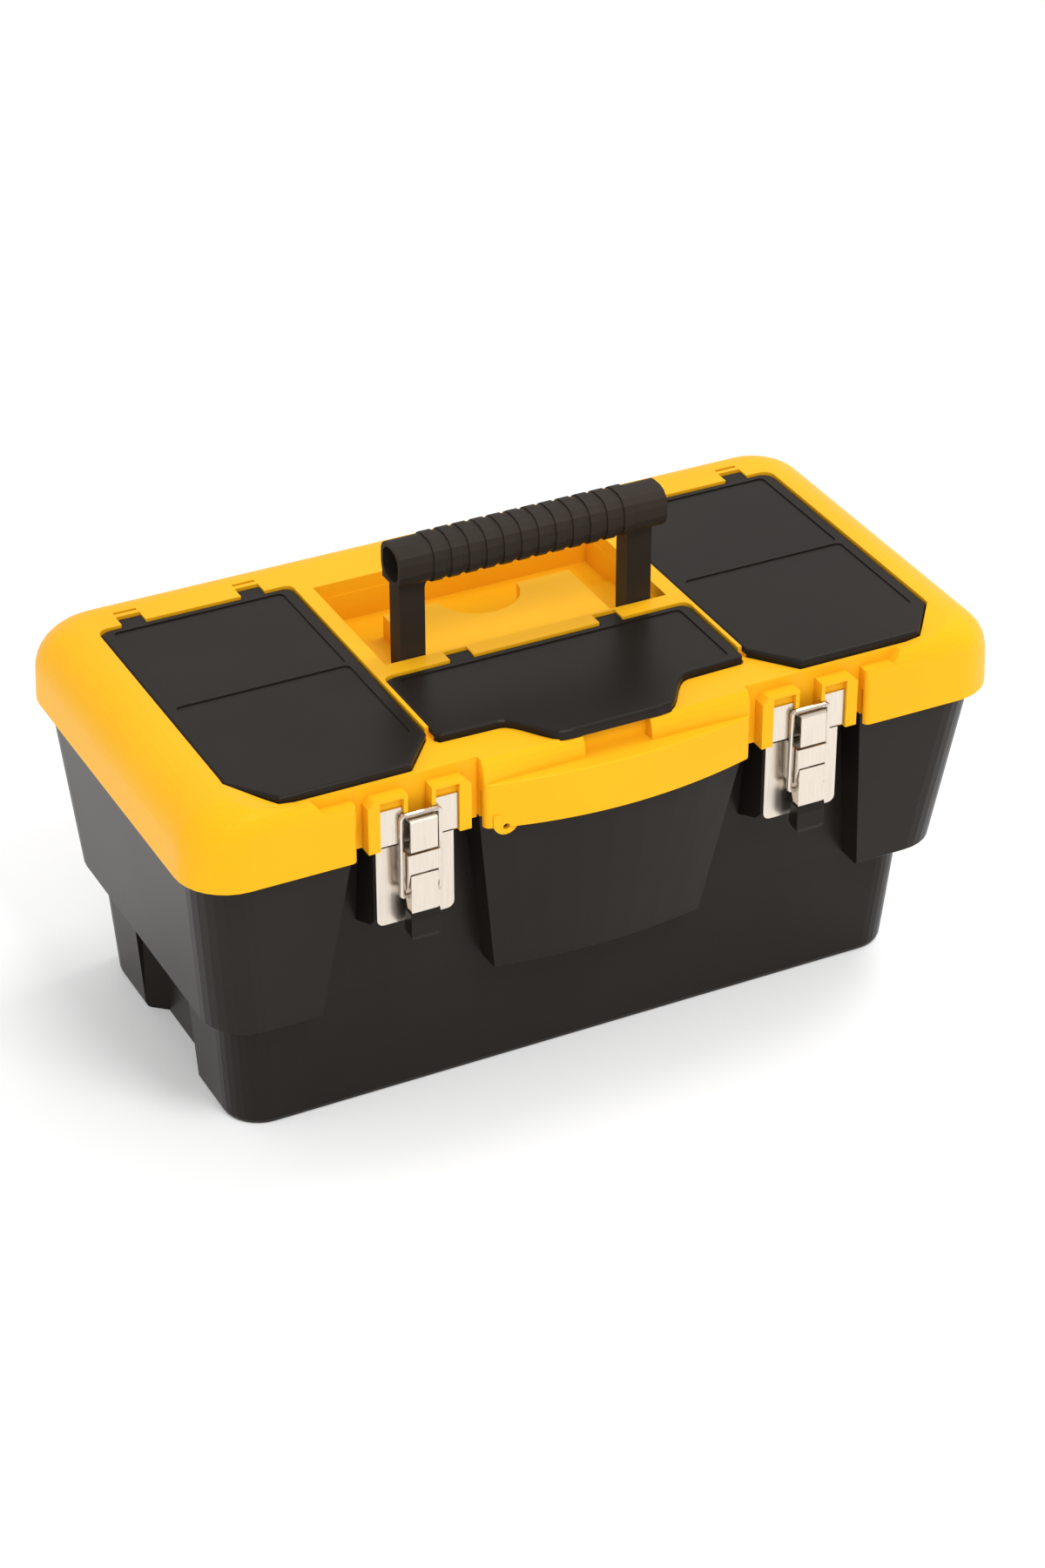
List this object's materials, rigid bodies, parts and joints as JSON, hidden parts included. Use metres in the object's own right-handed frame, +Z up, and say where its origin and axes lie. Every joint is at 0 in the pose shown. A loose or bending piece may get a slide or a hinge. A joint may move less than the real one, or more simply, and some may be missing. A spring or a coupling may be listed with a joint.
{
  "type": "toolbox with tray",
  "caption": "Portable plastic toolbox with a hinged lid, lidded organizer bins on top, a folding carrying handle, two draw latches and a lift-out tray.",
  "frame": {"origin": "middle of the bounding box in plan, on the ground", "axes": "+X to the user's right along the length, -Y towards the front with the latches, +Z up"},
  "size_m": [0.486, 0.2689, 0.3023],
  "materials": {
    "black_plastic": "fine moulded texture",
    "yellow_plastic": "satin moulded",
    "tray_plastic": "fine moulded texture",
    "nickel_steel": "bright nickel plated"
  },
  "bodies": {
    "tub": {"base_tub": "black_plastic", "latch_plate_left": "nickel_steel", "latch_plate_right": "nickel_steel", "latch_pin_left": "nickel_steel", "latch_pin_right": "nickel_steel", "hinge_pin_left": "nickel_steel", "hinge_pin_right": "nickel_steel"},
    "lid": {"lid_shell": "yellow_plastic", "keeper_left": "nickel_steel", "keeper_right": "nickel_steel", "handle_pin_left": "black_plastic", "handle_pin_right": "black_plastic"},
    "left_cover": {"cover_left": "black_plastic"},
    "right_cover": {"cover_right": "black_plastic"},
    "centre_cover": {"cover_centre": "black_plastic"},
    "carry_handle": {"handle": "black_plastic"},
    "lift_tray": {"tray": "tray_plastic"},
    "lever_left_group": {"lever_left": "nickel_steel", "lever_tip_left": "black_plastic"},
    "bail_left_loop": {"bail_left": "nickel_steel"},
    "lever_right_group": {"lever_right": "nickel_steel", "lever_tip_right": "black_plastic"},
    "bail_right_loop": {"bail_right": "nickel_steel"}
  },
  "joints": [
    {"name": "lid_hinge", "type": "hinge", "parent": "tub", "child": "lid", "pos_m": [0, 0.1295, 0.18], "axis": [-1, 0, 0], "range_deg": [0, 105]},
    {"name": "cover_left_hinge", "type": "hinge", "parent": "lid", "child": "left_cover", "pos_m": [-0.154, 0.093, 0.2283], "axis": [-1, 0, 0], "range_deg": [0, 110]},
    {"name": "cover_right_hinge", "type": "hinge", "parent": "lid", "child": "right_cover", "pos_m": [0.154, 0.093, 0.2283], "axis": [-1, 0, 0], "range_deg": [0, 110]},
    {"name": "cover_centre_hinge", "type": "hinge", "parent": "lid", "child": "centre_cover", "pos_m": [0, -0.0225, 0.2283], "axis": [-1, 0, 0], "range_deg": [0, 75]},
    {"name": "handle_pivot", "type": "hinge", "parent": "lid", "child": "carry_handle", "pos_m": [0, -0.0105, 0.216], "axis": [-1, 0, 0], "range_deg": [0, 90]},
    {"name": "tray_lift", "type": "slide", "parent": "tub", "child": "lift_tray", "axis": [0, 0, 1], "range_m": [0, 0.05]},
    {"name": "latch_lever_left", "type": "hinge", "parent": "tub", "child": "lever_left_group", "pos_m": [-0.1168, -0.125, 0.167], "axis": [-1, 0, 0], "range_deg": [0, 85]},
    {"name": "latch_bail_left", "type": "hinge", "parent": "lever_left_group", "child": "bail_left_loop", "pos_m": [-0.1168, -0.125, 0.157], "axis": [-1, 0, 0], "range_deg": [-107, 0]},
    {"name": "latch_lever_right", "type": "hinge", "parent": "tub", "child": "lever_right_group", "pos_m": [0.1168, -0.125, 0.167], "axis": [-1, 0, 0], "range_deg": [0, 85]},
    {"name": "latch_bail_right", "type": "hinge", "parent": "lever_right_group", "child": "bail_right_loop", "pos_m": [0.1168, -0.125, 0.157], "axis": [-1, 0, 0], "range_deg": [-107, 0]}
  ],
  "couplings": [
    {"joint": "tray_lift", "follows": "lid_hinge", "m_per_rad": 0.027},
    {"joint": "latch_bail_left", "follows": "latch_lever_left", "ratio": -1.25},
    {"joint": "latch_bail_right", "follows": "latch_lever_right", "ratio": -1.25}
  ]
}
